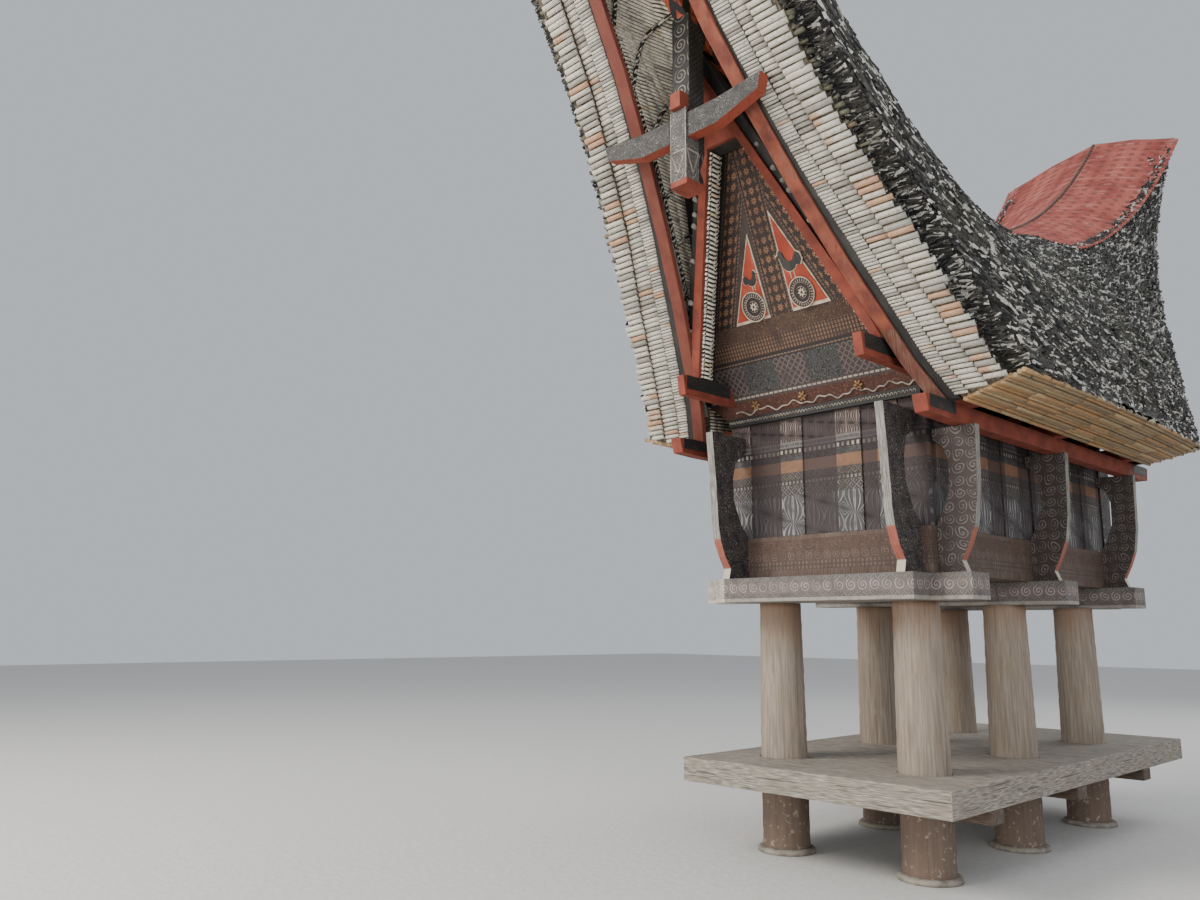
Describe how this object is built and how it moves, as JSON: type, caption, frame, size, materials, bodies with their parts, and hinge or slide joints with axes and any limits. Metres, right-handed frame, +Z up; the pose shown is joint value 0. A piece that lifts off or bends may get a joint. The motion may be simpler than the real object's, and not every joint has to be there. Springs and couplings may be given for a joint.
{
  "type": "tongkonan-form rice barn",
  "caption": "Tongkonan-form rice barn: round posts through an open sitting deck, carved store body with curved fins, leaning gables and an upswept saddle roof of layered split bamboo.",
  "frame": {"origin": "centre of the building's footprint on the ground, under the middle of the roof", "axes": "+Z up; the long side and the ridge run along Y, the front gable faces -Y, X is across the building"},
  "size_m": [3.2, 9.5904, 7.556],
  "materials": {
    "weathered_post": "weathered",
    "deck_boards": "worn",
    "carved_wood": "carved and painted",
    "blackened_wood": "matt black stain",
    "weathered_board": "weathered",
    "red_painted_wood": "matt paint",
    "split_bamboo": "weathered",
    "old_thatch": "ragged",
    "corrugated_sheet": "faded and rusty"
  },
  "bodies": {
    "root": {"post_front_left": "weathered_post", "post_front_right": "weathered_post", "post_mid_left": "weathered_post", "post_mid_right": "weathered_post", "post_rear_left": "weathered_post", "post_rear_right": "weathered_post", "deck_floor": "deck_boards", "deck_beam_front": "deck_boards", "deck_beam_mid": "deck_boards", "deck_beam_rear": "deck_boards", "deck_edge": "deck_boards", "sill_beam_front": "carved_wood", "sill_beam_mid": "carved_wood", "sill_beam_rear": "carved_wood", "plinth_frame": "carved_wood", "store_floor": "weathered_post", "wall_front": "carved_wood", "wall_rear": "carved_wood", "wall_right": "carved_wood", "wall_left": "carved_wood", "fin_front_left": "carved_wood", "fin_rear_left": "carved_wood", "side_fin_front_left": "carved_wood", "side_fin_mid_left": "carved_wood", "side_fin_rear_left": "carved_wood", "fin_front_right": "carved_wood", "fin_rear_right": "carved_wood", "side_fin_front_right": "carved_wood", "side_fin_mid_right": "carved_wood", "side_fin_rear_right": "carved_wood", "eave_frame": "red_painted_wood", "purlin_right": "red_painted_wood", "purlin_left": "red_painted_wood", "gable_front": "carved_wood", "gable_rear": "carved_wood", "bamboo_layer_1": "split_bamboo", "bamboo_layer_2": "split_bamboo", "bamboo_layer_3": "split_bamboo", "bamboo_layer_4": "split_bamboo", "thatch": "old_thatch", "verge_rafters_front": "blackened_wood", "verge_rafters_rear": "blackened_wood", "barge_boards_front": "red_painted_wood", "barge_boards_rear": "red_painted_wood", "ridge_pole": "red_painted_wood", "gable_rafters_front": "blackened_wood", "gable_rafters_rear": "blackened_wood", "gable_facing_front": "red_painted_wood", "gable_facing_rear": "red_painted_wood", "king_post_front": "weathered_board", "king_post_rear": "weathered_board", "king_post_front_outer": "weathered_board", "king_post_rear_outer": "weathered_board", "ridge_cap": "corrugated_sheet", "tip_cap_front": "weathered_board", "tip_cap_rear": "weathered_board"}
  },
  "joints": []
}
